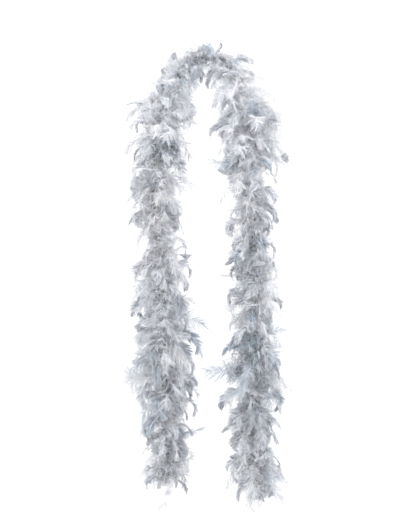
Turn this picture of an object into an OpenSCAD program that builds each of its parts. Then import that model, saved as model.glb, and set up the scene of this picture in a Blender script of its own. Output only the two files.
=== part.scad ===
// Feather boa: curled feathers bound in whorls along a twisted cotton core.
// It hangs round a neck. The origin is the middle of the core, at the nape.

/* [Core] */
// Thickness of the twisted core
core_d = 5; // [4:0.5:6]
// Flat sides of the core where it is drawn
core_sides = 10; // [8:1:12]

/* [Binding] */
// Thickness of the wound binding thread
thread_d = 0.8; // [0.4:0.1:1]
// Length of core that one winding of thread covers
binding_length = 8; // [4:1:10]

/* [Feathers] */
// How far the feathers reach from the core where the boa hangs free
hanging_reach = 52; // [40:1:54]
// How far they reach where they are pressed round the neck
neck_reach = 32; // [28:1:40]
// Thickness of a whorl at its outer rim
rim = 2; // [1:0.5:4]
// Gap between one whorl and the next
whorl_gap = 0.8; // [0.5:0.1:2]

/* [Ends] */
// Width of the knot that stops the feathers at each end
knot_d = 11; // [9:0.5:14]
// Length of that knot
knot_length = 12; // [10:1:16]
// Inner width of the thread loop beyond the knot
loop_width = 12; // [8:1:16]
// Length of the loop's straight legs
loop_leg = 6; // [4:1:10]
// Thickness of the loop's thread
loop_d = 2; // [1.5:0.1:2.5]

/* [Bending places] */
// Bare core left between two whorls that bend apart
bend_gap = 10; // [8:1:14]
// Break in the core at a bending place
core_break = 6; // [5:0.5:8]

/* [Hidden] */
core_r = core_d / 2;
thread_gap = 0.1;
winding_r = core_r + thread_gap + thread_d;
bore_slack = 0.5;
collar = 2;
// extra clearance where the core bends, as a share of the exact amount
bend_margin = 1.5;
// play between a core's end and its knot
knot_play = 0.2;
whorl_fn = 48;
small_fn = 32;
steps = 2;
// distance from the nape at which the neck stops pressing, and the length over which it eases
neck_zone = 110;
neck_ease = 90;

// Core route from the left end, up over the nape, to the right end
route = [
    [-86, -176, -850], [-84, -176, -806], [-81, -175, -758], [-80, -175, -702],
    [-85, -176, -644], [-88, -177, -584], [-88, -178, -524], [-87, -178, -464],
    [-92, -177, -404], [-100, -175, -344], [-104, -172, -284], [-102, -166, -224],
    [-97, -154, -174], [-90, -136, -132], [-82, -112, -96], [-72, -80, -66],
    [-58, -43, -34], [-32, -12, -7],
    [0, 0, 0],
    [32, -12, -10], [52, -43, -42], [61, -80, -76],
    [72, -112, -108], [84, -138, -144], [88, -154, -186], [84, -166, -232],
    [81, -172, -292], [86, -175, -352], [92, -177, -412], [95, -178, -472],
    [94, -178, -530], [88, -177, -588], [91, -176, -648], [95, -175, -708],
    [88, -175, -766], [97, -176, -822], [99, -176, -876]
];
nape = 18;

// Stretches between bending places: name, first and last route point, whorls
stretches = [
    ["left_tail", 0, 6, 7],
    ["left_strand", 6, 11, 6],
    ["yoke", 11, 25, 14],
    ["right_strand", 25, 30, 6],
    ["right_tail", 30, 36, 7]
];

// ---- the core's curve ----
function curve_point(a, b, c, d, t) =
    0.5 * (2 * b + (c - a) * t + (2 * a - 5 * b + 4 * c - d) * t * t
           + (3 * b - a - 3 * c + d) * t * t * t);
function held(i) = min(max(i, 0), len(route) - 1);
curve = [
    for (i = [0 : len(route) - 2])
        for (k = [0 : steps - 1])
            curve_point(route[held(i - 1)], route[i], route[i + 1], route[held(i + 2)], k / steps),
    route[len(route) - 1]
];
station = [
    for (i = 0, s = 0; i < len(curve); i = i + 1, s = i < len(curve) ? s + norm(curve[i] - curve[i - 1]) : s) s
];
core_length = station[len(station) - 1];

function unit(v) = v / norm(v);
function run_holding(s, i = 0) = i >= len(curve) - 2 || station[i + 1] > s ? i : run_holding(s, i + 1);
function on_run(i, s) = curve[i] + (curve[i + 1] - curve[i]) * (s - station[i]) / (station[i + 1] - station[i]);
function core_at(s) = on_run(run_holding(s), s);

// ---- stretches and whorls ----
function is_end(i) = i == 0 || i == len(route) - 1;
function first_station(t) = station[t[1] * steps];
function last_station(t) = station[t[2] * steps];
function stretch_start(t, gap) = first_station(t) + (is_end(t[1]) ? 0 : gap / 2);
function stretch_end(t, gap) = last_station(t) - (is_end(t[2]) ? 0 : gap / 2);
function whorl_pitch(t) = (stretch_end(t, bend_gap) - stretch_start(t, bend_gap)) / t[3];
function whorl_station(t, k) = stretch_start(t, bend_gap) + (k + 0.5) * whorl_pitch(t);
function whorl_name(t, k) = str("feathers_", t[0], "_", k + 1);

function pressed(s) = 1 - min(max((abs(s - station[nape * steps]) - neck_zone) / neck_ease, 0), 1);
function reach_at(s) = hanging_reach - (hanging_reach - neck_reach) * pressed(s);

// Turns a child that stands along +Z to point along v
module aim(v) {
    rotate([0, acos(v[2] / norm(v)), atan2(v[1], v[0])]) children();
}

// ---- core: a swept tube along one stretch ----
function stretch_points(t) =
    let (a = stretch_start(t, core_break), b = stretch_end(t, core_break))
    concat(
        [core_at(a)],
        [for (i = [t[1] * steps + 1 : t[2] * steps - 1]) curve[i]],
        [core_at(b)]
    );
function tangent(p, i) = unit(p[min(i + 1, len(p) - 1)] - p[max(i - 1, 0)]);
function across(v, t) = unit(v - (v * t) * t);
function ring_sides(p) = [
    for (i = 0, n = across([0, 1, 0.3], tangent(p, 0)); i < len(p);
         i = i + 1, n = i < len(p) ? across(n, tangent(p, i)) : n) n
];

module tube(p, r, sides) {
    n = ring_sides(p);
    points = [
        for (i = [0 : len(p) - 1])
            let (u = n[i], w = cross(tangent(p, i), u))
            for (k = [0 : sides - 1])
                p[i] + r * (u * cos(360 * k / sides) + w * sin(360 * k / sides))
    ];
    walls = [
        for (i = [0 : len(p) - 2]) for (k = [0 : sides - 1])
            let (a = i * sides + k, b = i * sides + (k + 1) % sides)
            [a, a + sides, b + sides, b]
    ];
    first = [for (k = [0 : sides - 1]) k];
    last = [for (k = [sides - 1 : -1 : 0]) (len(p) - 1) * sides + k];
    polyhedron(points, concat(walls, [first, last]), convexity = 10);
}

module core(t) {
    color("gainsboro") tube(stretch_points(t), core_r, core_sides);
}

// ---- binding: thread wound round the middle of each straight run of the core ----
module winding() {
    rotate_extrude($fn = small_fn)
        translate([core_r + thread_gap, -binding_length / 2])
            square([thread_d, binding_length]);
}

module binding(t) {
    color("whitesmoke")
        for (i = [t[1] * steps : t[2] * steps - 1])
            translate((curve[i] + curve[i + 1]) / 2)
                aim(curve[i + 1] - curve[i]) winding();
}

// ---- feathers: one whorl, widest at its middle, threaded on the core ----
module whorl(half, bore, reach) {
    rotate_extrude($fn = whorl_fn)
        polygon([
            [bore, -half], [bore + collar, -half], [reach, -rim / 2],
            [reach, rim / 2], [bore + collar, half], [bore, half]
        ]);
}

// On a bend the core bows by sag between a whorl's ends, and the whorl's ends draw back from its neighbours'
module feathers(t, k) {
    s = whorl_station(t, k);
    pitch = whorl_pitch(t);
    low = core_at(s - pitch / 2);
    high = core_at(s + pitch / 2);
    middle = (low + high) / 2;
    sag = norm(core_at(s) - middle);
    bore = winding_r + bore_slack + sag;
    half = (pitch - whorl_gap) / 2 - bend_margin * (bore + collar) * 4 * sag / pitch;
    color((k % 2 == 0) ? "silver" : "lightsteelblue")
        translate((middle + core_at(s)) / 2)
            aim(high - low)
                whorl(half, bore, reach_at(s));
}

// ---- ends: a round knot under the last feathers, and a thread loop below it ----
module end_knot(i) {
    color("white")
        translate(route[i] - [0, 0, knot_play + knot_length / 2])
            intersection() {
                cylinder(h = knot_length, d = knot_d, center = true, $fn = whorl_fn);
                sphere(r = knot_length * 0.62, $fn = whorl_fn);
            }
}

module end_loop(i) {
    turn_r = (loop_width + loop_d) / 2;
    color("white")
        translate(route[i] - [0, 0, knot_play + knot_length + loop_leg])
            union() {
                rotate([-90, 0, 0])
                    rotate_extrude(angle = 180, $fn = whorl_fn)
                        translate([turn_r, 0]) circle(d = loop_d, $fn = small_fn);
                for (side = [-1, 1])
                    translate([side * turn_r, 0, 0])
                        cylinder(h = loop_leg, d = loop_d, $fn = small_fn);
            }
}

for (t = stretches) {
    core(t);
    binding(t);
    for (k = [0 : t[3] - 1])
        feathers(t, k);
}
end_knot(0);  // end_knot_left
end_knot(len(route) - 1);  // end_knot_right
end_loop(0);  // end_loop_left
end_loop(len(route) - 1);  // end_loop_right
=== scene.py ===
"""Feather boa: two-ply cotton core, bound quills, curled dyed turkey feathers, knotted and looped ends."""
import math

import bpy
import numpy as np
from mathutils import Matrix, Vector


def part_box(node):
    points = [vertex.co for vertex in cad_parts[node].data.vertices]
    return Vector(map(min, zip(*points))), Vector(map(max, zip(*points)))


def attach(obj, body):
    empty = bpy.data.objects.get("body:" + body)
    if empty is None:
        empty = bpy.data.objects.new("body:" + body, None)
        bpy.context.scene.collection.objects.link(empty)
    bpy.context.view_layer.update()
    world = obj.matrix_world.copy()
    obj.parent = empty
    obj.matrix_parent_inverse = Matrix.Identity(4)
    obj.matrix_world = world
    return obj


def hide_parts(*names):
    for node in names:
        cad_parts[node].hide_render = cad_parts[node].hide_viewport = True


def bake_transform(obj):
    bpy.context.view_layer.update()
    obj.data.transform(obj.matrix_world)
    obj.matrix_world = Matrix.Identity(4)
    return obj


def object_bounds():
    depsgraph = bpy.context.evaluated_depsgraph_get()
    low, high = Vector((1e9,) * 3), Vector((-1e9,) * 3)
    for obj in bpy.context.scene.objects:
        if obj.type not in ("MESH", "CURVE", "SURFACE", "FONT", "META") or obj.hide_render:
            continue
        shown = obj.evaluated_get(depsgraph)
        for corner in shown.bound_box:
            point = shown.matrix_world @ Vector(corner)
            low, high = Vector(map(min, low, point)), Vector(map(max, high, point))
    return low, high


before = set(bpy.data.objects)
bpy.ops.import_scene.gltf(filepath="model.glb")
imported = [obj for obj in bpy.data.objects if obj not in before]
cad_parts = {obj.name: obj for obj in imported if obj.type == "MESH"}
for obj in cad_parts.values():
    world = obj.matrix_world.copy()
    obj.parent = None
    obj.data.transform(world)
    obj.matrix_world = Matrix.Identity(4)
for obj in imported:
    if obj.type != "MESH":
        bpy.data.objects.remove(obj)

bl_info = {
    "name": "Feather Boa",
    "version": (1, 0, 0),
    "blender": (4, 5, 0),
    "location": "View3D > Sidebar > Boa",
    "description": "Builds a hanging feather boa round the loaded frame",
    "category": "Object",
}

CAD_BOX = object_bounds()
MM = 0.001
LEFT, RIGHT, FRONT, UP = np.array(((-1.0, 0, 0), (1.0, 0, 0), (0, -1.0, 0), (0, 0, 1.0)))
DOWN = -UP

# Feathers may stand past the frame's box by a share of each side and a bit more.
BOX_LOW, BOX_HIGH = (np.array(corner) for corner in CAD_BOX)
ROOM_SHARE, ROOM_MORE = 0.03, 9.5 * MM
ROOM = ROOM_SHARE * (BOX_HIGH - BOX_LOW) + ROOM_MORE
ROOM_LOW, ROOM_HIGH = BOX_LOW - ROOM, BOX_HIGH + ROOM

# The core's route from the left end, up over the nape, to the right end.
ROUTE = np.array([
    (-0.086, -0.176, -0.850), (-0.084, -0.176, -0.806), (-0.081, -0.175, -0.758), (-0.080, -0.175, -0.702),
    (-0.085, -0.176, -0.644), (-0.088, -0.177, -0.584), (-0.088, -0.178, -0.524), (-0.087, -0.178, -0.464),
    (-0.092, -0.177, -0.404), (-0.100, -0.175, -0.344), (-0.104, -0.172, -0.284), (-0.102, -0.166, -0.224),
    (-0.097, -0.154, -0.174), (-0.090, -0.136, -0.132), (-0.082, -0.112, -0.096), (-0.072, -0.080, -0.066),
    (-0.058, -0.043, -0.034), (-0.032, -0.012, -0.007),
    (0.0, 0.0, 0.0),
    (0.032, -0.012, -0.010), (0.052, -0.043, -0.042), (0.061, -0.080, -0.076), (0.072, -0.112, -0.108),
    (0.084, -0.138, -0.144), (0.088, -0.154, -0.186), (0.084, -0.166, -0.232), (0.081, -0.172, -0.292),
    (0.086, -0.175, -0.352), (0.092, -0.177, -0.412), (0.095, -0.178, -0.472), (0.094, -0.178, -0.530),
    (0.088, -0.177, -0.588), (0.091, -0.176, -0.648), (0.095, -0.175, -0.708), (0.088, -0.175, -0.766),
    (0.097, -0.176, -0.822), (0.099, -0.176, -0.876),
])
NAPE = 18
LEFT_MIDDLE, RIGHT_MIDDLE = 8.5, 27.5     # where a strand's core is divided, as places in the route

# Stretches between bending places: name, first and last route point, whorls.
STRETCHES = (
    ("left_tail", 0, 6, 7),
    ("left_strand", 6, 11, 6),
    ("yoke", 11, 25, 14),
    ("right_strand", 25, 30, 6),
    ("right_tail", 30, 36, 7),
)
BEND_GAP = 10 * MM        # bare core left at a bending place

# Bending places: joint, route point, and how far along the core the bend is spread to each side.
BENDS = (
    ("left_tail_sway", 6, 0.11),
    ("left_chest_bend", 11, 0.10),
    ("right_chest_bend", 25, 0.10),
    ("right_tail_sway", 30, 0.11),
)
WHORL_REACH = 0.07        # length of core over which one whorl's feathers may lie
CORE_ACROSS = (0.0, 1.0, 0.3)     # a direction that no part of the core runs along


# ---- the core's line ----

def unit(v):
    """The vector or vectors at length 1."""
    v = np.asarray(v, float)
    return v / np.maximum(np.linalg.norm(v, axis=-1, keepdims=True), 1e-12)


def smooth_line(points, steps):
    """A smooth curve through the points, with that many steps between each two."""
    held = np.vstack([points[:1], points, points[-1:]])
    t = np.arange(steps)[:, None] / steps
    spans = []
    for a, b, c, d in zip(held, held[1:], held[2:], held[3:]):
        spans.append(0.5 * (2 * b + (c - a) * t + (2 * a - 5 * b + 4 * c - d) * t**2
                            + (3 * b - a - 3 * c + d) * t**3))
    return np.vstack(spans + [points[-1:]])


def turning_sides(line, first):
    """A sideways direction at each point of a line, carried along it with no twist."""
    along = unit(np.gradient(line, axis=0))
    sides = np.empty_like(line)
    side = np.asarray(first, float)
    for i, t in enumerate(along):
        side = unit(side - (side @ t) * t)
        sides[i] = side
    return along, sides


LINE_STEPS = 8
LINE = smooth_line(ROUTE, LINE_STEPS)
STATION = np.concatenate([[0.0], np.cumsum(np.linalg.norm(np.diff(LINE, axis=0), axis=1))])
ALONG, SIDE = turning_sides(LINE, CORE_ACROSS)


def station_of(place):
    """Distance along the core of a place in the route, such as 11 or 8.5."""
    return float(np.interp(place * LINE_STEPS, np.arange(len(LINE)), STATION))


def at(values, s):
    """Values kept along the core, read at one or many stations."""
    return np.stack([np.interp(s, STATION, values[:, k]) for k in range(3)], axis=-1)


def core_frame(s):
    """Point on the core, direction along it, and two directions across it."""
    along = unit(at(ALONG, s))
    side = at(SIDE, s)
    side = unit(side - np.sum(side * along, axis=-1, keepdims=True) * along)
    return at(LINE, s), along, side, np.cross(along, side)


# ---- meshes ----

OPEN_AT = 40 * MM      # distance from its root at which a feather is out in the open; nearer its root the down gets painted shade
EASE = 14 * MM         # depth of the room's soft edge
BARBS, QUILLS = 0, 1   # a feather's two finishes, by their place in its list


def kept_in(points):
    """Points past the soft edge of the room, drawn back so that none leaves it."""
    low, high = ROOM_LOW + EASE, ROOM_HIGH - EASE
    points = np.where(points > high, high + EASE * (1 - np.exp((high - points) / EASE)), points)
    return np.where(points < low, low - EASE * (1 - np.exp((points - low) / EASE)), points)


class Surface:
    """Collects points and four-sided faces, with values for the shader, and makes one mesh of them.

    The values are how a feather took the dye, raised low on the boa as painted shade, how near a barb's
    end a point is, how far it is from the feather's root, which sets painted shade on the down near the root,
    and how light its barb is among its neighbours, the darkest few painted dark as shade.
    """

    def __init__(self):
        self.points, self.faces, self.finish, self.values = [], [], [], []
        self.count = 0
        self.root = None

    def add(self, points, faces, finish=BARBS, dye=0.0, tip=0.0, streak=1.0):
        """Takes in points and the faces that join them."""
        points = kept_in(np.asarray(points, float).reshape(-1, 3))
        faces = np.asarray(faces, int).reshape(-1, 4) + self.count
        self.points.append(points)
        self.faces.append(faces)
        self.finish.append(np.full(len(faces), finish))
        from_root = 1.0 if self.root is None else np.linalg.norm(points - self.root, axis=1) / OPEN_AT
        values = (dye, tip, from_root, streak)
        self.values.append(np.stack([np.broadcast_to(value, len(points)) for value in values], 1))
        self.count += len(points)

    def ribbons(self, lines, across, finish=BARBS, dye=0.0, tip=0.0, streak=1.0):
        """Flat strips: lines is (strips, points, 3), and across their half-widths as vectors."""
        strips, n = lines.shape[:2]
        pair = np.stack([lines - across, lines + across], axis=2)
        row = 2 * np.arange(n - 1)
        face = np.stack([row, row + 1, row + 3, row + 2], axis=1)
        faces = face[None] + (2 * n * np.arange(strips))[:, None, None]
        value = np.repeat(np.broadcast_to(tip, (strips, n)).reshape(-1), 2)
        tone = np.repeat(np.broadcast_to(streak, strips), 2 * n)
        self.add(pair.reshape(-1, 3), faces, finish, dye, value, tone)

    def tube(self, line, radius, sides, finish=BARBS):
        """A round tube along a line, narrowing as radius says, open at its ends."""
        line = np.asarray(line, float)
        first = np.cross(line[1] - line[0], (0.31, 0.52, 0.79))
        along, u = turning_sides(line, first)
        w = np.cross(along, u)
        turn = 2 * np.pi * np.arange(sides) / sides
        radius = np.broadcast_to(radius, len(line))[:, None, None]
        ring = u[:, None] * np.cos(turn)[None, :, None] + w[:, None] * np.sin(turn)[None, :, None]
        points = line[:, None] + radius * ring
        k = np.arange(sides)
        face = np.stack([k, k + sides, (k + 1) % sides + sides, (k + 1) % sides], axis=1)
        faces = face[None] + (sides * np.arange(len(line) - 1))[:, None, None]
        self.add(points, faces, finish)

    def object(self, name, finishes):
        """The collected surface as one object with these materials."""
        points = np.vstack(self.points)
        faces = np.vstack(self.faces)
        mesh = bpy.data.meshes.new(name)
        mesh.vertices.add(len(points))
        mesh.vertices.foreach_set("co", points.astype(np.float32).ravel())
        mesh.loops.add(faces.size)
        mesh.loops.foreach_set("vertex_index", faces.astype(np.int32).ravel())
        mesh.polygons.add(len(faces))
        mesh.polygons.foreach_set("loop_start", np.arange(0, faces.size, 4, dtype=np.int32))
        mesh.polygons.foreach_set("material_index", np.concatenate(self.finish).astype(np.int32))
        mesh.polygons.foreach_set("use_smooth", np.full(len(faces), True))
        values = np.vstack(self.values).astype(np.float32)
        for k, word in enumerate(("dye", "tip", "open", "streak")):
            mesh.attributes.new(word, "FLOAT", "POINT").data.foreach_set("value", values[:, k].copy())
        mesh.update()
        mesh.validate()
        obj = bpy.data.objects.new(name, mesh)
        bpy.context.scene.collection.objects.link(obj)
        for finish in finishes:
            mesh.materials.append(finish)
        return obj


def settle(obj, s, body, nodes):
    """obj rides on its body, or, where it comes near the nearest bending place, stays unparented with its
    placing baked into its points.
    """
    name, place, spread = min(BENDS, key=lambda bend: abs(station_of(bend[1]) - s))
    bend = station_of(place)
    if abs(bend - s) < spread + WHORL_REACH:
        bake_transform(obj)
    else:
        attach(obj, body)
    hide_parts(*nodes)


# ---- materials ----

def linear(hex_colour):
    """An sRGB hex colour as linear red, green, blue and alpha."""
    parts = [int(hex_colour.lstrip("#")[i:i + 2], 16) / 255 for i in (0, 2, 4)]
    return tuple(c / 12.92 if c <= 0.04045 else ((c + 0.055) / 1.055) ** 2.4 for c in parts) + (1.0,)


def add_node(tree, kind, inputs=None, stops=(), **settings):
    """Adds a node; inputs holds values, or (node, output) pairs to link from, and stops a ramp's colours."""
    node = tree.nodes.new(kind)
    for key, value in settings.items():
        setattr(node, key, value)
    for key, value in (inputs or {}).items():
        if isinstance(value, tuple) and isinstance(value[0], bpy.types.Node):
            tree.links.new(value[0].outputs[value[1]], node.inputs[key])
        else:
            node.inputs[key].default_value = value
    for k, (place, colour) in enumerate(stops):
        ramp = node.color_ramp.elements
        element = ramp[k] if k < len(ramp) else ramp.new(place)
        element.position = place
        element.color = colour
    return node


def new_finish(name):
    """An empty material with its output and shader, as (material, tree, shader)."""
    material = bpy.data.materials.get(name) or bpy.data.materials.new(name)
    material.use_nodes = True
    tree = material.node_tree
    tree.nodes.clear()
    shader = add_node(tree, "ShaderNodeBsdfPrincipled")
    add_node(tree, "ShaderNodeOutputMaterial", {"Surface": (shader, "BSDF")}, name="Surface output")
    return material, tree, shader


RAMP, MIX = "ShaderNodeValToRGB", "ShaderNodeMix"
MIX_FACTOR, MIX_A, MIX_B, MIX_RESULT = 0, 6, 7, 2     # a colour mix's sockets
NO_CHANGE = (1.0, 1.0, 1.0, 1.0)                      # white, which leaves what it multiplies as it is


def dyed_feather():
    """Turkey down and vane, washed, dyed in a vat and steamed: matt, soft, paler where dye didn't take."""
    colours = bpy.context.scene.boa_colours
    material, tree, shader = new_finish("dyed_turkey_feather")
    dye = add_node(tree, "ShaderNodeAttribute", attribute_name="dye")
    tip = add_node(tree, "ShaderNodeAttribute", attribute_name="tip")
    out = add_node(tree, "ShaderNodeAttribute", attribute_name="open")
    streak = add_node(tree, "ShaderNodeAttribute", attribute_name="streak")
    place = add_node(tree, "ShaderNodeTexCoord")
    # colour by dye lot; the grey stop is mostly painted shade, given to feathers low on the boa so it darkens
    # towards the bottom
    vat = add_node(tree, RAMP, {"Fac": (dye, "Fac")}, (
        (0.0, linear(colours.pale)), (0.30, linear(colours.silver)), (0.68, linear(colours.grey)),
        (1.0, linear(colours.teal))))
    # dye takes unevenly over about 14 mm of down
    patches = add_node(tree, "ShaderNodeTexNoise", {
        "Vector": (place, "Object"), "Scale": 1 / (14 * MM), "Detail": 3.0, "Roughness": 0.55})
    shade = add_node(tree, RAMP, {"Fac": (patches, "Fac")}, (
        (0.30, (0.84, 0.84, 0.85, 1.0)), (0.70, NO_CHANGE)))
    # painted shade: down next to the quill's foot is painted greyer than the open feather, nearly dark
    # violet-grey at the root, standing in for the shadow deep among the feathers round the core
    foot = add_node(tree, RAMP, {"Fac": (out, "Fac")}, (
        (0.10, linear("#50505E")), (0.20, linear("#CDD0D8")), (0.40, NO_CHANGE)))
    # barbs differ in tone at random; the darkest few are painted dark violet as painted shade, standing in
    # for shadowed gaps between the feathers
    tones_and_painted_shade = add_node(tree, RAMP, {"Fac": (streak, "Fac")}, (
        (0.03, linear("#5A5A70")), (0.16, linear("#BEC3CB")), (0.40, linear("#EAEDF0")), (0.62, NO_CHANGE)))
    body, socket = vat, "Color"
    for layer in (shade, foot, tones_and_painted_shade):
        body = add_node(tree, MIX, {
            MIX_FACTOR: 1.0, MIX_A: (body, socket), MIX_B: (layer, "Color")},
            data_type="RGBA", blend_type="MULTIPLY")
        socket = MIX_RESULT
    # the fine ends of the barbs are nearly white
    ends = add_node(tree, RAMP, {"Fac": (tip, "Fac")}, (
        (0.0, (0.0, 0.0, 0.0, 1.0)), (1.0, (0.6, 0.6, 0.6, 1.0))))
    colour = add_node(tree, MIX, {
        MIX_FACTOR: (ends, "Color"), MIX_A: (body, socket), MIX_B: linear(colours.barb_end)},
        data_type="RGBA")
    tree.links.new(colour.outputs[MIX_RESULT], shader.inputs["Base Color"])
    shader.inputs["Roughness"].default_value = 0.72
    shader.inputs["IOR"].default_value = 1.45
    shader.inputs["Specular IOR Level"].default_value = 0.25
    shader.inputs["Sheen Weight"].default_value = 0.25
    shader.inputs["Sheen Roughness"].default_value = 0.5
    # some light passes through the thin barbs
    through = add_node(tree, "ShaderNodeBsdfTranslucent", {"Color": (colour, MIX_RESULT)})
    both = add_node(tree, "ShaderNodeMixShader", {0: 0.3, 1: (shader, "BSDF"), 2: (through, "BSDF")})
    tree.links.new(both.outputs[0], tree.nodes["Surface output"].inputs["Surface"])
    return material


def quill_keratin():
    """Quill and shaft: smooth horn-like keratin that took little dye, a clean pale line with a soft shine."""
    colours = bpy.context.scene.boa_colours
    material, tree, shader = new_finish("quill_keratin")
    place = add_node(tree, "ShaderNodeTexCoord")
    # cloudy over about 5 mm of quill
    clouds = add_node(tree, "ShaderNodeTexNoise", {
        "Vector": (place, "Object"), "Scale": 1 / (5 * MM), "Detail": 2.0})
    colour = add_node(tree, RAMP, {"Fac": (clouds, "Fac")}, (
        (0.25, linear(colours.silver)), (0.60, linear(colours.quill))))
    tree.links.new(colour.outputs["Color"], shader.inputs["Base Color"])
    shader.inputs["Roughness"].default_value = 0.38
    shader.inputs["IOR"].default_value = 1.54
    return material


def cotton_cord():
    """Unbleached cotton, spun and plied: matt, with fine fibres that lie across each ply."""
    colours = bpy.context.scene.boa_colours
    material, tree, shader = new_finish("spun_cotton")
    place = add_node(tree, "ShaderNodeTexCoord")
    # spun fibres show about 0.5 mm apart
    fibres = add_node(tree, "ShaderNodeTexNoise", {
        "Vector": (place, "Object"), "Scale": 1 / (0.5 * MM), "Detail": 2.0, "Distortion": 0.4})
    colour = add_node(tree, RAMP, {"Fac": (fibres, "Fac")}, (
        (0.30, linear("#A6A39B")), (0.65, linear(colours.cotton))))
    bump = add_node(tree, "ShaderNodeBump", {
        "Height": (fibres, "Fac"), "Strength": 0.5, "Distance": 0.1 * MM})
    tree.links.new(colour.outputs["Color"], shader.inputs["Base Color"])
    tree.links.new(bump.outputs["Normal"], shader.inputs["Normal"])
    shader.inputs["Roughness"].default_value = 0.88
    shader.inputs["Sheen Weight"].default_value = 0.3
    return material


def sewing_thread():
    """Spun polyester thread, wound tight: near-white, a little smoother than the cotton."""
    colours = bpy.context.scene.boa_colours
    material, tree, shader = new_finish("spun_polyester_thread")
    place = add_node(tree, "ShaderNodeTexCoord")
    # thread twist shows about 0.4 mm apart
    twist = add_node(tree, "ShaderNodeTexNoise", {
        "Vector": (place, "Object"), "Scale": 1 / (0.4 * MM), "Detail": 1.0})
    colour = add_node(tree, RAMP, {"Fac": (twist, "Fac")}, (
        (0.30, linear("#B9BCC2")), (0.60, linear(colours.thread))))
    bump = add_node(tree, "ShaderNodeBump", {
        "Height": (twist, "Fac"), "Strength": 0.4, "Distance": 0.05 * MM})
    tree.links.new(colour.outputs["Color"], shader.inputs["Base Color"])
    tree.links.new(bump.outputs["Normal"], shader.inputs["Normal"])
    shader.inputs["Roughness"].default_value = 0.6
    return material


# ---- feathers ----

def shaft_line(root, keys, length, points=12):
    """A shaft from its root, and its direction, which goes from the first key by the second to the third."""
    u = np.linspace(0, 1, points)[:, None]
    start, middle, end = keys
    way = unit((1 - u) ** 2 * start + 2 * u * (1 - u) * middle + u ** 2 * end)
    step = length / (points - 1)
    line = np.vstack([[root], root + np.cumsum((way[1:] + way[:-1]) / 2 * step, axis=0)])
    return line, way


def drifting(rng, count, every, width):
    """Random rows that change slowly from one to the next, so that neighbouring barbs cling together."""
    knots = rng.normal(0, 1, (max(2, count // every + 2), width))
    x = np.linspace(0, len(knots) - 1, count)
    return np.stack([np.interp(x, np.arange(len(knots)), knots[:, k]) for k in range(width)], 1)


def barb_row(rng, surface, line, way, flat, span, count, reach, look, dye, hand):
    """One side of a feather: a row of barbs along the span of the shaft, on the side that hand says."""
    u = np.linspace(span[0], span[1], count) + rng.normal(0, 0.3 / count, count)
    u = np.clip(u, 0.0, 1.0)
    places = np.linspace(0, 1, len(line))
    base = np.stack([np.interp(u, places, line[:, k]) for k in range(3)], 1)
    d = unit(np.stack([np.interp(u, places, way[:, k]) for k in range(3)], 1))
    s = unit(np.cross(d, flat)) * hand
    n = np.cross(s, d) * hand
    x = (u - span[0]) / (span[1] - span[0])
    cling = drifting(rng, count, look["cling"], 5)
    uneven = np.clip(1 + 0.10 * cling[:, 0] + rng.normal(0, 0.06, count), 0.5, 1.4)
    size = look["shape"](x) * reach * uneven
    lean = np.radians(np.interp(x, (0, 1), look["lean"]) + 6 * cling[:, 1])[:, None]
    stray = look["stray"]
    lift = (look["cup"] + look["loose"] * cling[:, 1] + rng.normal(0, stray, count))[:, None]
    way_out = unit(d * np.cos(lean) + s * np.sin(lean) + n * lift)
    curl = (look["forward"] * d + look["droop"] * DOWN + look["loose"] * cling[:, 2:]
            + rng.normal(0, stray, (count, 3)))
    v = look["places"]
    lines = base[:, None] + size[:, None, None] * (
        way_out[:, None] * v[None, :, None] + curl[:, None] * (v ** 2)[None, :, None])
    spread = d if look["flat"] else d + rng.normal(0, 0.8, (count, 3))
    wide = unit(spread - np.sum(spread * way_out, 1, keepdims=True) * way_out)
    across = wide[:, None] * (look["width"] / 2 * look["taper"])[None, :, None]
    # how light each barb is, at random and in small clumps; the lowest values are painted dark violet as
    # shade by the feather's material
    shades = 0.18 * drifting(rng, count, 2, 1)[:, 0] + rng.normal(0, 0.21, count)
    middle_tone, tone_spread = look["tone"]
    streak = np.clip(middle_tone + tone_spread * shades, 0, 1)
    faded = look["fade"] * np.clip(2 * x - 1, 0, 1)
    tips = np.maximum(look["tips"][None, :], faded[:, None])
    surface.ribbons(lines, across, BARBS, dye, tips, streak)


# How the barbs of each kind of down or vane lie. shape is their length along the shaft, lean the degrees
# between shaft and barb at its foot and tip, cup how far the vane is hollow, loose how far barbs that cling
# together stray from the rest, stray how far each one does, cling how many barbs cling together, and forward
# and droop how far they curl to the feather's tip and down. places are the points along a barb, and taper and
# tips its width and paleness there. fade pales the feather's own tip, and tone is how light the barbs are and
# how far they differ.
DOWNY = {
    "shape": lambda x: np.clip(x + 0.12, 0, 1) ** 0.35 * np.clip(1.02 - x, 0, 1) ** 0.32 * 1.30,
    "lean": (76, 30), "cup": -0.1, "loose": 0.13, "stray": 0.09, "cling": 5, "forward": 0.20, "droop": 0.14,
    "places": np.array((0.0, 0.34, 0.68, 1.0)), "taper": np.array((1.0, 0.95, 0.8, 0.25)),
    "width": 0.66 * MM, "flat": False, "tips": np.array((0.0, 0.2, 0.6, 1.0)), "fade": 0.75,
    "tone": (0.52, 0.65),
}
FLUFF = {
    "shape": lambda x: np.clip(1.15 - 0.5 * x, 0, 1),
    "lean": (85, 50), "cup": 0.0, "loose": 0.45, "stray": 0.20, "cling": 4, "forward": 0.15, "droop": 0.25,
    "places": np.array((0.0, 0.34, 0.68, 1.0)), "taper": np.array((1.0, 0.9, 0.7, 0.3)),
    "width": 0.70 * MM, "flat": False, "tips": np.array((0.0, 0.15, 0.45, 0.9)), "fade": 0.0,
    "tone": (0.54, 1.2),
}
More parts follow.
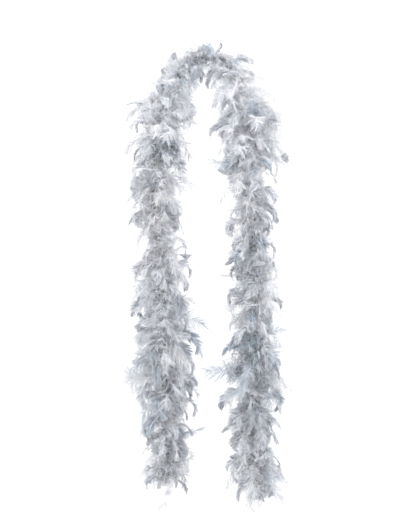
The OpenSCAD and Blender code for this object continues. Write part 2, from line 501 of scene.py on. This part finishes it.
VANE = {
    "shape": lambda x: np.clip(x + 0.10, 0, 1) ** 0.30 * np.clip(1.03 - x, 0, 1) ** 0.50 * 1.35,
    "lean": (58, 24), "cup": -0.25, "loose": 0.05, "stray": 0.015, "cling": 6, "forward": 0.16, "droop": 0.02,
    "places": np.array((0.0, 0.5, 1.0)), "taper": np.array((1.0, 1.0, 0.5)),
    "width": 1.3 * MM, "flat": True, "tips": np.array((0.0, 0.1, 0.9)), "fade": 0.30, "tone": (0.25, 0.35),
}
CURLED = {
    "shape": lambda x: np.clip(1.1 - 0.5 * x, 0, 1),
    "lean": (60, 40), "cup": -0.2, "loose": 0.10, "stray": 0.05, "cling": 5, "forward": 0.2, "droop": 0.0,
    "places": np.array((0.0, 0.5, 1.0)), "taper": np.array((1.0, 1.0, 0.4)),
    "width": 1.1 * MM, "flat": True, "tips": np.array((0.0, 0.4, 1.0)), "fade": 0.0, "tone": (0.55, 0.6),
}


HANDS = (-1, 1)
FLUFF_REACH = 18 * MM        # length of the down at a long feather's foot


def plume(rng, surface, root, keys, flat, length, dye):
    """A downy feather: loose barbs almost to its tip."""
    line, way = shaft_line(root, keys, length)
    reach = length * rng.uniform(0.26, 0.38)
    count = int(length / (1.0 * MM))
    for hand in HANDS:
        barb_row(rng, surface, line, way, flat, (0.16, 0.99), count, reach, DOWNY, dye, hand)
    fluff = int(count * 0.40)
    for hand in HANDS:
        barb_row(rng, surface, line, way, flat, (0.05, 0.42), fluff, FLUFF_REACH, FLUFF, dye, hand)
    surface.tube(line, np.linspace(0.70, 0.20, len(line)) * MM, 4, QUILLS)


def leaf(rng, surface, root, keys, flat, length, dye):
    """A flat-tipped feather: down at its foot, and a closed curved vane above."""
    line, way = shaft_line(root, keys, length)
    count = int(0.5 * length / (1.3 * MM))
    for hand in HANDS:
        barb_row(rng, surface, line, way, flat, (0.06, 0.50), count, FLUFF_REACH, FLUFF, dye, hand)
    vane = int(0.62 * length / (0.85 * MM))
    wide = length * rng.uniform(0.19, 0.26)
    for hand in HANDS:
        barb_row(rng, surface, line, way, flat, (0.38, 0.995), vane, wide, VANE, dye, hand)
    surface.tube(line, np.linspace(0.9, 0.3, len(line)) * MM, 4, QUILLS)


def stripped(rng, surface, root, keys, flat, length, dye):
    """A shaft that lost its barbs but for a small tuft at the tip."""
    line, way = shaft_line(root, keys, length, 16)
    count = int(0.45 * length / (1.4 * MM))
    for hand in HANDS:
        barb_row(rng, surface, line, way, flat, (0.50, 0.995), count, length * 0.11, DOWNY, dye, hand)
    surface.tube(line, np.linspace(0.8, 0.25, len(line)) * MM, 4, QUILLS)


def curl(rng, surface, root, keys, flat, length, dye):
    """A narrow curled strip of vane, rolled back on itself near the core."""
    sweep = rng.uniform(3.4, 5.8)
    turn = np.linspace(0, sweep, 14)[:, None]
    radius = 0.20 * length
    out, fall = unit(keys[0]), unit(keys[2])
    side = unit(np.cross(out, fall) + 0.3 * flat)
    up = unit(np.cross(side, out))
    line = root + 0.45 * length * out + radius * (
        out * np.sin(turn) + up * (1 - np.cos(turn)) + side * 0.16 * turn)
    line = np.vstack([root, line])
    way = unit(np.gradient(line, axis=0))
    for hand in HANDS:
        barb_row(rng, surface, line, way, side, (0.10, 0.99), 26, 4.2 * MM, CURLED, dye, hand)
    surface.tube(line, 0.28 * MM, 4, QUILLS)


def bare_quill(rng, surface, root, keys, flat, length, dye):
    """A cut quill with no barbs."""
    line, way = shaft_line(root, keys, length, 6)
    surface.tube(line, np.linspace(1.3, 0.9, len(line)) * MM, 6, QUILLS)


def tuft(rng, surface, root, keys, flat, length, dye):
    """Short loose down with no vane, that fills the boa close to its core."""
    line, way = shaft_line(root, keys, length, 8)
    count = int(length / (1.1 * MM))
    for hand in HANDS:
        barb_row(rng, surface, line, way, flat, (0.04, 0.99), count, length * 0.42, FLUFF, dye, hand)
    surface.tube(line, np.linspace(0.40, 0.12, len(line)) * MM, 4, QUILLS)


GOLDEN = math.pi * (3 - math.sqrt(5))        # turn from one feather to the next, so that none line up
NECK_MIDDLE = np.array((0.0, -0.070, 0.0))
NECK_SHARE = np.array((1.0, 1.0, 0.4))       # the neck is upright, so height counts for less
ROOT_DEPTH = 2.2 * MM                        # how far from the core's middle a quill is bound
PRESSED_RUN = 0.24                           # run of core to each side of the nape that the neck presses

# Places in the route where more teal feathers were bound in, and the run of core that each covers.
TEAL_PLACES = (3.2, 5.1, 6.5, 11.5, 15.8, 22.8, 27.8, 31.0, 32.1, 32.8)
TEAL_RUN = 0.04


def dye_lot_and_painted_shade(rng, s):
    """How a feather took the dye: 0 pale, 0.3 silver, 0.68 grey, 1 teal-grey; raised low on the boa as
    painted shade.
    """
    nearest = min(abs(station_of(place) - s) for place in TEAL_PLACES)
    if rng.random() < 0.08 + 0.40 * max(0.0, 1 - nearest / TEAL_RUN):
        return rng.uniform(0.75, 1.0)
    # painted shade: lower on the boa, feathers are pushed towards the grey stop, so the boa darkens towards
    # the bottom as if less light reached it
    lower = np.clip((-0.35 - at(LINE, s)[2]) / 0.4, 0, 1)
    return rng.uniform(0.05 + 0.20 * lower, 0.45 + 0.23 * lower)


BARB_ROOM = 9 * MM        # room kept round a shaft for its barbs


def fitting(root, keys, length, spare):
    """The length shortened until the shaft's line stays inside the room, with some to spare for its barbs."""
    for _ in range(12):
        line, _ = shaft_line(root, keys, length, 6)
        if np.all(line > ROOM_LOW + spare) and np.all(line < ROOM_HIGH - spare):
            break
        length *= 0.9
    return length


# How long feathers stand at a height, for the left and the right side.
FULLNESS = (
    ((-0.85, 0.74), (-0.81, 0.95), (-0.74, 0.92), (-0.68, 1.10), (-0.58, 1.20), (-0.49, 1.08), (-0.42, 1.02),
     (-0.33, 0.92), (-0.27, 0.94), (-0.21, 1.02), (-0.15, 1.22), (-0.10, 1.06), (-0.07, 0.88), (0.0, 0.85)),
    ((-0.875, 0.78), (-0.82, 1.12), (-0.74, 0.88), (-0.68, 1.12), (-0.54, 1.12), (-0.48, 0.94), (-0.40, 0.86),
     (-0.32, 0.90), (-0.24, 1.04), (-0.16, 1.24), (-0.11, 1.24), (-0.08, 1.04), (-0.03, 0.80), (0.0, 0.85)),
)


def fullness(point):
    """How long feathers stand at a point on the core."""
    heights, shares = zip(*FULLNESS[int(point[0] > 0)])
    return float(np.interp(point[2], heights, shares))


def place_feather(rng, surface, make, s, turn, length, hang, spread):
    """One feather of a kind, rooted on the core at s and turned round it, hanging and spreading as told."""
    point, along, side, over = core_frame(s)
    out = unit(side * math.cos(turn) + over * math.sin(turn))
    to_neck = unit((NECK_MIDDLE - point) * NECK_SHARE)
    near_neck = max(0.0, 1 - abs(s - station_of(NAPE)) / PRESSED_RUN)
    facing = max(0.0, float(out @ to_neck)) * near_neck
    # long feathers that face forward are shorter, so that the crinkled down over the core shows
    ahead = max(0.0, float(out @ FRONT)) ** 2 if make in (plume, leaf) else 0.0
    length = length * (1 - 0.5 * facing) * (1 - 0.32 * ahead) * fullness(point)
    fall = unit(DOWN * hang + rng.normal(0, 0.42, 3))
    first = unit(out + along * rng.uniform(-0.8, 0.8))
    middle = unit(out * spread + fall * 0.45 + rng.normal(0, 0.32, 3))
    arch = rng.uniform(-0.9, -0.1) if make is leaf else rng.uniform(-0.35, 0.6)
    last = unit(out * arch * spread + fall)
    flat = unit(np.cross(np.cross(first, last), last) + rng.normal(0, 0.45, 3))
    root = point + out * ROOT_DEPTH
    keys = (first, middle, last)
    surface.root = root
    make(rng, surface, root, keys, flat, fitting(root, keys, length, BARB_ROOM), dye_lot_and_painted_shade(rng, s))


def whorl(rng, name, s, half, sizes, finishes):
    """All feathers bound on one short length of core, as one object."""
    surface = Surface()
    start = rng.uniform(0, 2 * math.pi)
    for i in range(sizes.feathers_per_whorl):
        make = leaf if rng.random() < sizes.leaf_share else plume
        place_feather(rng, surface, make, s + rng.uniform(-half, half), start + GOLDEN * i,
                      sizes.feather_length * rng.uniform(0.70, 1.15), rng.uniform(0.5, 1.3),
                      rng.uniform(0.7, 1.1))
    for i in range(sizes.tufts_per_whorl):
        place_feather(rng, surface, tuft, s + rng.uniform(-half, half), GOLDEN * i,
                      sizes.tuft_length * rng.uniform(0.7, 1.3), rng.uniform(0.0, 0.9), rng.uniform(0.8, 1.4))
    for i in range(sizes.curls_per_whorl):
        place_feather(rng, surface, curl, s + rng.uniform(-half, half), rng.uniform(0, 2 * math.pi),
                      sizes.curl_length * rng.uniform(0.7, 1.2), rng.uniform(0.0, 0.6), 1.0)
    strays(rng, surface, s - half, s + half)
    return surface.object(name, finishes)


# Feathers that stand out from the rest: kind, place in the route, the way each sets off, goes on and ends,
# length and dye.
STRAYS = (
    (stripped, 16.0, LEFT + 0.1 * UP, LEFT + 0.1 * UP, LEFT, 0.082, 0.2),
    (stripped, 15.8, LEFT + UP, 0.8 * LEFT + UP, LEFT + UP, 0.060, 0.2),
    (stripped, 14.4, LEFT + 0.6 * UP, LEFT, LEFT + 0.9 * DOWN, 0.096, 0.1),
    (plume, 13.7, LEFT + 0.3 * UP, LEFT + 0.3 * DOWN, 0.4 * LEFT + DOWN, 0.092, 0.1),
    (plume, 16.7, UP + 0.2 * LEFT, UP + 0.3 * LEFT, 0.5 * RIGHT + UP, 0.052, 0.2),
    (plume, 17.1, UP, UP + 0.4 * LEFT, UP + 0.3 * RIGHT, 0.055, 0.1),
    (plume, 17.5, UP, UP + 0.3 * LEFT, 0.4 * UP + RIGHT, 0.050, 0.1),
    (plume, 10.6, RIGHT + FRONT, RIGHT + 0.2 * UP, 0.3 * RIGHT + DOWN, 0.090, 0.2),
    (stripped, 11.1, LEFT, LEFT + 0.2 * DOWN, LEFT + 0.5 * DOWN, 0.074, 0.4),
    (leaf, 9.5, LEFT + FRONT, LEFT + 0.4 * DOWN, 0.4 * LEFT + DOWN, 0.066, 0.3),
    (leaf, 5.4, FRONT + 0.3 * RIGHT, RIGHT + 0.3 * DOWN, RIGHT + 0.1 * UP, 0.060, 0.05),
    (leaf, 5.6, FRONT + LEFT, LEFT + 0.2 * DOWN, LEFT + 0.4 * UP, 0.056, 0.1),
    (stripped, 5.0, LEFT, LEFT, LEFT + 0.1 * UP, 0.090, 0.1),
    (plume, 4.0, LEFT, LEFT + 0.1 * DOWN, LEFT + 0.4 * DOWN, 0.086, 0.2),
    (stripped, 3.8, LEFT + 0.2 * DOWN, LEFT + 0.4 * DOWN, LEFT + 0.3 * DOWN, 0.084, 0.1),
    (stripped, 1.6, LEFT, LEFT + 0.2 * UP, LEFT, 0.072, 0.3),
    (stripped, 0.9, LEFT, LEFT + 0.1 * DOWN, LEFT + 0.1 * UP, 0.066, 0.3),
    (stripped, 0.4, LEFT + DOWN, 0.5 * LEFT + DOWN, DOWN, 0.072, 0.2),
    (stripped, 0.2, 0.4 * LEFT + DOWN, DOWN, DOWN, 0.066, 0.2),
    (plume, 0.2, 0.5 * RIGHT + DOWN, DOWN, 0.8 * LEFT + 0.3 * DOWN, 0.070, 0.1),
    (plume, 19.8, UP + 0.2 * RIGHT, UP + 0.1 * RIGHT, UP, 0.046, 0.2),
    (plume, 20.5, RIGHT + 0.7 * UP, RIGHT + 0.2 * UP, RIGHT + 0.6 * DOWN, 0.066, 0.1),
    (plume, 21.2, RIGHT + 0.6 * UP, RIGHT, 0.6 * RIGHT + DOWN, 0.080, 0.1),
    (stripped, 22.0, RIGHT + 0.5 * UP, RIGHT + 0.2 * DOWN, RIGHT + 0.8 * DOWN, 0.088, 0.2),
    (leaf, 23.3, LEFT + FRONT, LEFT + 0.1 * UP, LEFT + 0.3 * DOWN, 0.066, 0.1),
    (plume, 24.9, LEFT, LEFT + 0.1 * DOWN, LEFT + 0.5 * UP, 0.082, 0.9),
    (stripped, 27.0, LEFT, LEFT + 0.5 * DOWN, LEFT + 0.8 * DOWN, 0.084, 0.5),
    (leaf, 28.6, FRONT + 0.4 * RIGHT, 0.6 * LEFT + DOWN, LEFT + DOWN, 0.062, 0.05),
    (plume, 31.8, LEFT, LEFT + 0.1 * UP, LEFT + 0.1 * DOWN, 0.092, 0.95),
    (plume, 32.2, RIGHT, RIGHT + 0.1 * DOWN, RIGHT + 0.5 * DOWN, 0.080, 0.2),
    (stripped, 32.8, RIGHT, RIGHT + 0.3 * DOWN, 0.4 * RIGHT + DOWN, 0.082, 0.1),
    (bare_quill, 34.6, FRONT + LEFT, 0.8 * LEFT + DOWN, 0.5 * LEFT + DOWN, 0.050, 0.0),
    (stripped, 34.8, RIGHT + 0.3 * DOWN, RIGHT + 0.5 * DOWN, RIGHT + 0.5 * DOWN, 0.084, 0.2),
    (stripped, 35.6, LEFT + 0.8 * DOWN, 0.4 * LEFT + DOWN, DOWN, 0.050, 0.3),
    (stripped, 35.8, DOWN, 0.3 * RIGHT + DOWN, 0.3 * RIGHT + DOWN, 0.044, 0.3),
    (plume, 35.7, RIGHT + 0.4 * DOWN, RIGHT + 0.4 * DOWN, RIGHT + DOWN, 0.062, 0.3),
)


def strays(rng, surface, low, high):
    """The stray feathers rooted between two stations."""
    for make, place, *ways, length, dye in STRAYS:
        s = station_of(place)
        if low <= s < high:
            root = at(LINE, s) + unit(ways[0]) * ROOT_DEPTH
            surface.root = root
            flat = unit(np.cross(np.cross(ways[0], ways[2] + 0.3 * FRONT), ways[1]) + 0.4 * FRONT)
            make(rng, surface, root, [unit(w) for w in ways], flat, length, dye)


# ---- settings ----

class BoaSizes(bpy.types.PropertyGroup):
    """Sizes of the boa that a maker would change."""
    core_diameter: bpy.props.FloatProperty(
        name="Core diameter", description="Thickness of the plied cotton core", default=0.005, unit="LENGTH")
    ply_pitch: bpy.props.FloatProperty(
        name="Ply pitch", description="Length of core in one turn of its plies", default=0.012, unit="LENGTH")
    thread_diameter: bpy.props.FloatProperty(
        name="Thread diameter", description="Thickness of the binding thread", default=0.0008, unit="LENGTH")
    winding_length: bpy.props.FloatProperty(
        name="Winding length", description="Length of core under one winding", default=0.008, unit="LENGTH")
    loop_ply_pitch: bpy.props.FloatProperty(
        name="Loop ply pitch", description="Length of loop in one turn of its plies", default=0.005,
        unit="LENGTH")
    feather_length: bpy.props.FloatProperty(
        name="Feather length", description="Middle length of a feather", default=0.074, unit="LENGTH")
    feathers_per_whorl: bpy.props.IntProperty(
        name="Feathers per whorl", description="Long feathers bound on each short length of core", default=18)
    tufts_per_whorl: bpy.props.IntProperty(
        name="Tufts per whorl", description="Short downy feathers bound between the long ones", default=20)
    tuft_length: bpy.props.FloatProperty(
        name="Tuft length", description="Middle length of a short downy feather",
        default=0.034, unit="LENGTH")
    curls_per_whorl: bpy.props.IntProperty(
        name="Curls per whorl", description="Narrow rolled strips of vane close to the core", default=24)
    curl_length: bpy.props.FloatProperty(
        name="Curl length", description="Middle length of a rolled strip before its roll", default=0.030,
        unit="LENGTH")
    leaf_share: bpy.props.FloatProperty(
        name="Share of vaned feathers", description="Feathers that keep a flat vane", default=0.38,
        subtype="FACTOR")


class BoaColours(bpy.types.PropertyGroup):
    """Colours of the boa, as sRGB hex values."""
    silver: bpy.props.StringProperty(name="Silver", description="Most of the feathers", default="#F8F8FA")
    # grey is mostly painted shade: feathers low on the boa are given it so that the boa darkens towards the
    # bottom; teal lots blend from it too
    grey: bpy.props.StringProperty(name="Grey", description="Feathers dyed darkest", default="#DDDEE3")
    teal: bpy.props.StringProperty(name="Teal", description="Feathers that took more dye", default="#B1C4D2")
    pale: bpy.props.StringProperty(
        name="Pale", description="Feathers that took little dye", default="#F7F4F6")
    barb_end: bpy.props.StringProperty(name="Barb ends", description="Fine ends of barbs", default="#F2F4F5")
    quill: bpy.props.StringProperty(name="Quill", description="Shafts and quills", default="#F7F7F5")
    cotton: bpy.props.StringProperty(name="Cotton", description="The plied core", default="#D9D6CE")
    thread: bpy.props.StringProperty(name="Thread", description="Binding thread", default="#ECEDEF")


# ---- operators ----

FLOOR_HEIGHT, FLOOR_RADIUS = -1.474, 1.5
BACKDROP_LIGHT = 1.36

# Lamps: name, place, width and depth, power in watts.
LAMPS = (
    ("key", (-0.7, -1.3, 0.9), (0.8, 0.8), 12),
    ("top", (0.5, -0.3, 1.4), (1.0, 1.0), 9),
)
LAMPS_AIM = Vector((0.0, -0.1, -0.45))

LENS, SENSOR_HEIGHT = 85.0, 24.0                   # both in millimetres
VIEW_HEIGHT, VIEW_MIDDLE, VIEW_PLANE = 1.04, -0.416, -0.12


class BOA_OT_stage(bpy.types.Operator):
    """Pale floor, soft light and a level camera in front"""
    bl_idname = "boa.stage"
    bl_label = "Stage"

    def execute(self, context):
        scene = context.scene
        scene.view_settings.view_transform = "Standard"
        world = scene.world or bpy.data.worlds.new("studio")
        scene.world = world
        world.use_nodes = True
        world.node_tree.nodes.clear()
        sky = add_node(world.node_tree, "ShaderNodeBackground", {
            "Color": (1, 1, 1, 1), "Strength": BACKDROP_LIGHT})
        add_node(world.node_tree, "ShaderNodeOutputWorld", {"Surface": (sky, "Background")})

        bpy.ops.mesh.primitive_circle_add(
            vertices=96, radius=FLOOR_RADIUS, fill_type="NGON", location=(0, 0, FLOOR_HEIGHT))
        floor = context.object
        floor.name = "floor"
        material, _, shader = new_finish("painted_floor")
        shader.inputs["Base Color"].default_value = linear("#DADAD7")
        shader.inputs["Roughness"].default_value = 0.7
        floor.data.materials.append(material)

        for name, place, size, power in LAMPS:
            lamp = bpy.data.lights.new(name, "AREA")
            lamp.shape = "RECTANGLE"
            lamp.size, lamp.size_y = size
            lamp.energy = power
            box = bpy.data.objects.new(name, lamp)
            box.location = place
            box.rotation_euler = (LAMPS_AIM - Vector(place)).to_track_quat("-Z", "Y").to_euler()
            scene.collection.objects.link(box)

        camera = bpy.data.cameras.new("camera")
        camera.sensor_fit = "VERTICAL"
        camera.sensor_height = SENSOR_HEIGHT
        camera.lens = LENS
        distance = LENS / SENSOR_HEIGHT * VIEW_HEIGHT
        holder = bpy.data.objects.new("camera", camera)
        holder.location = (0.0, VIEW_PLANE - distance, VIEW_MIDDLE)
        holder.rotation_euler = (math.pi / 2, 0, 0)
        scene.collection.objects.link(holder)
        scene.camera = holder
        return {"FINISHED"}


# Lengths of core: name, first place, bend and last place in the route, the nodes it stands for, and the
# side whose knot it ends in.
CORE_LENGTHS = (
    ("core_left_upper", NAPE, 11, LEFT_MIDDLE, ("core_yoke", "core_left_strand"), None),
    ("core_left_lower", LEFT_MIDDLE, 6, 0, ("core_left_tail",), "left"),
    ("core_right_upper", NAPE, 25, RIGHT_MIDDLE, ("core_right_strand",), None),
    ("core_right_lower", RIGHT_MIDDLE, 30, len(ROUTE) - 1, ("core_right_tail",), "right"),
)
CORE_POINTS, PATH_EVERY = 161, 4


def plies(surface, line, diameter, pitch):
    """Two plies twisted round each other along a line, as thick together as the diameter."""
    run = np.concatenate([[0.0], np.cumsum(np.linalg.norm(np.diff(line, axis=0), axis=1))])
    fine = np.linspace(0, run[-1], int(run[-1] / pitch * 8) + 2)
    line = np.stack([np.interp(fine, run, line[:, k]) for k in range(3)], 1)
    _, side = turning_sides(line, CORE_ACROSS)
    over = np.cross(unit(np.gradient(line, axis=0)), side)
    for ply in (0, math.pi):
        turn = (2 * np.pi * fine / pitch + ply)[:, None]
        surface.tube(line + 0.23 * diameter * (side * np.cos(turn) + over * np.sin(turn)), 0.28 * diameter, 6)


class BOA_OT_core(bpy.types.Operator):
    """Two-ply cotton core in four lengths, divided at the nape and half-way down each strand"""
    bl_idname = "boa.core"
    bl_label = "Core"

    def execute(self, context):
        sizes = context.scene.boa_sizes
        finish = cotton_cord()
        for name, first, bend, last, nodes, end in CORE_LENGTHS:
            a, b = station_of(first), station_of(last)
            path = at(LINE, np.linspace(a, b, CORE_POINTS))
            surface = Surface()
            plies(surface, path, sizes.core_diameter, sizes.ply_pitch)
            obj = surface.object(name, (finish,))
            settle(obj, station_of(bend), None, nodes)
        return {"FINISHED"}


WINDING_STEP = 0.5        # windings stand this far apart, in places of the route
POINTS_PER_TURN = 10


class BOA_OT_binding(bpy.types.Operator):
    """Thread wound round the core and the quills, in short windings along each length"""
    bl_idname = "boa.binding"
    bl_label = "Binding"

    def execute(self, context):
        sizes = context.scene.boa_sizes
        finish = sewing_thread()
        lie = sizes.core_diameter / 2 + 0.1 * MM + sizes.thread_diameter / 2
        turns = sizes.winding_length / sizes.thread_diameter
        half = (sizes.winding_length - sizes.thread_diameter) / 2
        u = np.linspace(-1, 1, int(turns * POINTS_PER_TURN))
        for name, first, bend, last, nodes, _ in CORE_LENGTHS:
            surface = Surface()
            low, high = min(first, last), max(first, last)
            for place in np.arange(low + WINDING_STEP / 2, high, WINDING_STEP):
                s = station_of(place)
                point, along, side, over = core_frame(s + half * u)
                turn = (2 * np.pi * (turns - 1) * u / 2)[:, None]
                line = point + lie * (side * np.cos(turn) + over * np.sin(turn))
                surface.tube(line, 0.54 * sizes.thread_diameter, 5)
            obj = surface.object(name.replace("core", "binding"), (finish,))
            replaced = [node.replace("core", "binding") for node in nodes]
            settle(obj, station_of(bend), None, replaced)
        return {"FINISHED"}


def wound_form(surface, top, profile, thread):
    """Thread laid turn beside turn over a round form; profile holds (radius, height) from top to bottom."""
    profile = smooth_line(np.array(profile), 6)
    run = np.concatenate([[0.0], np.cumsum(np.linalg.norm(np.diff(profile, axis=0), axis=1))])
    turns = run[-1] / thread
    u = np.linspace(0, 1, int(turns * 20))
    radius = np.interp(u * run[-1], run, profile[:, 0])
    height = np.interp(u * run[-1], run, profile[:, 1])
    turn = 2 * np.pi * turns * u
    line = top + np.stack([radius * np.cos(turn), radius * np.sin(turn), height], 1)
    surface.tube(line, 0.56 * thread, 5)


class BOA_OT_ends(bpy.types.Operator):
    """Wound knots that stop the feathers at both ends, each with a hanging loop of plied thread"""
    bl_idname = "boa.ends"
    bl_label = "End knots and loops"

    def execute(self, context):
        sizes = context.scene.boa_sizes
        finish = sewing_thread()
        thread = sizes.thread_diameter
        for side_name, place, body in (("left", 0, "left_tail"), ("right", len(ROUTE) - 1, "right_tail")):
            knot_node, loop_node = f"end_knot_{side_name}", f"end_loop_{side_name}"
            low, high = (np.array(corner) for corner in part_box(knot_node))
            top = np.array((*ROUTE[place][:2], high[2]))
            radius, length = (high[0] - low[0]) / 2 - thread / 2, high[2] - low[2] - thread
            start = -thread / 2
            knot = Surface()
            wound_form(knot, top, (
                (0.35 * radius, start), (0.82 * radius, start - 0.06 * length),
                (radius, start - 0.30 * length), (radius, start - 0.70 * length),
                (0.82 * radius, start - 0.94 * length), (0.12 * radius, start - length)), thread)
            obj = knot.object(f"knot_{side_name}", (finish,))
            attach(obj, body)
            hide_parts(knot_node)

            low, high = (np.array(corner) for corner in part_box(loop_node))
            thick = high[1] - low[1]
            middle = (low + high) / 2
            reach = (high[0] - low[0] - thick) / 2
            bend_height = low[2] + thick / 2 + reach
            half_turn = np.linspace(0, math.pi, 33)
            turn_line = np.stack([middle[0] - reach * np.cos(half_turn), np.full(33, middle[1]),
                                  bend_height - reach * np.sin(half_turn)], 1)
            leg = np.linspace(high[2], bend_height, 8)[:-1]
            legs = [np.stack([np.full(7, middle[0] + way * reach), np.full(7, middle[1]), leg], 1)
                    for way in (-1, 1)]
            line = np.vstack([legs[0], turn_line, legs[1][::-1]])
            plied = Surface()
            plies(plied, line, thick, sizes.loop_ply_pitch)
            obj = plied.object(f"loop_{side_name}", (finish,))
            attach(obj, body)
            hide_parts(loop_node)
        return {"FINISHED"}


class BOA_OT_feathers(bpy.types.Operator):
    """Whorls of curled feathers along the core"""
    bl_idname = "boa.feathers"
    bl_label = "Feathers"

    def execute(self, context):
        sizes = context.scene.boa_sizes
        finishes = (dyed_feather(), quill_keratin())
        rng = np.random.default_rng(7)
        for name, first, last, whorls in STRETCHES:
            a = station_of(first) + (BEND_GAP / 2 if first else 0)
            b = station_of(last) - (BEND_GAP / 2 if last < len(ROUTE) - 1 else 0)
            pitch = (b - a) / whorls
            for k in range(whorls):
                node = f"feathers_{name}_{k + 1}"
                s = a + (k + 0.5) * pitch
                obj = whorl(rng, node.replace("feathers", "plumage"), s, pitch / 2, sizes, finishes)
                settle(obj, s, name, (node,))
        return {"FINISHED"}


class BOA_PT_panel(bpy.types.Panel):
    """Lists the boa's settings and the steps that build it"""
    bl_label = "Feather Boa"
    bl_idname = "BOA_PT_panel"
    bl_space_type = "VIEW_3D"
    bl_region_type = "UI"
    bl_category = "Boa"

    def draw(self, context):
        scene = context.scene
        for group in (scene.boa_sizes, scene.boa_colours):
            for name in group.__annotations__:
                self.layout.prop(group, name)
        for step in STEPS:
            self.layout.operator(step.bl_idname)


STEPS = (BOA_OT_stage, BOA_OT_core, BOA_OT_binding, BOA_OT_ends, BOA_OT_feathers)
CLASSES = (BoaSizes, BoaColours) + STEPS + (BOA_PT_panel,)


def register():
    for c in CLASSES:
        bpy.utils.register_class(c)
    bpy.types.Scene.boa_sizes = bpy.props.PointerProperty(type=BoaSizes)
    bpy.types.Scene.boa_colours = bpy.props.PointerProperty(type=BoaColours)


def unregister():
    del bpy.types.Scene.boa_colours
    del bpy.types.Scene.boa_sizes
    for c in reversed(CLASSES):
        bpy.utils.unregister_class(c)


def main():
    register()
    bpy.ops.boa.stage()
    bpy.ops.boa.core()
    bpy.ops.boa.binding()
    bpy.ops.boa.ends()
    bpy.ops.boa.feathers()


if __name__ == "__main__":
    main()
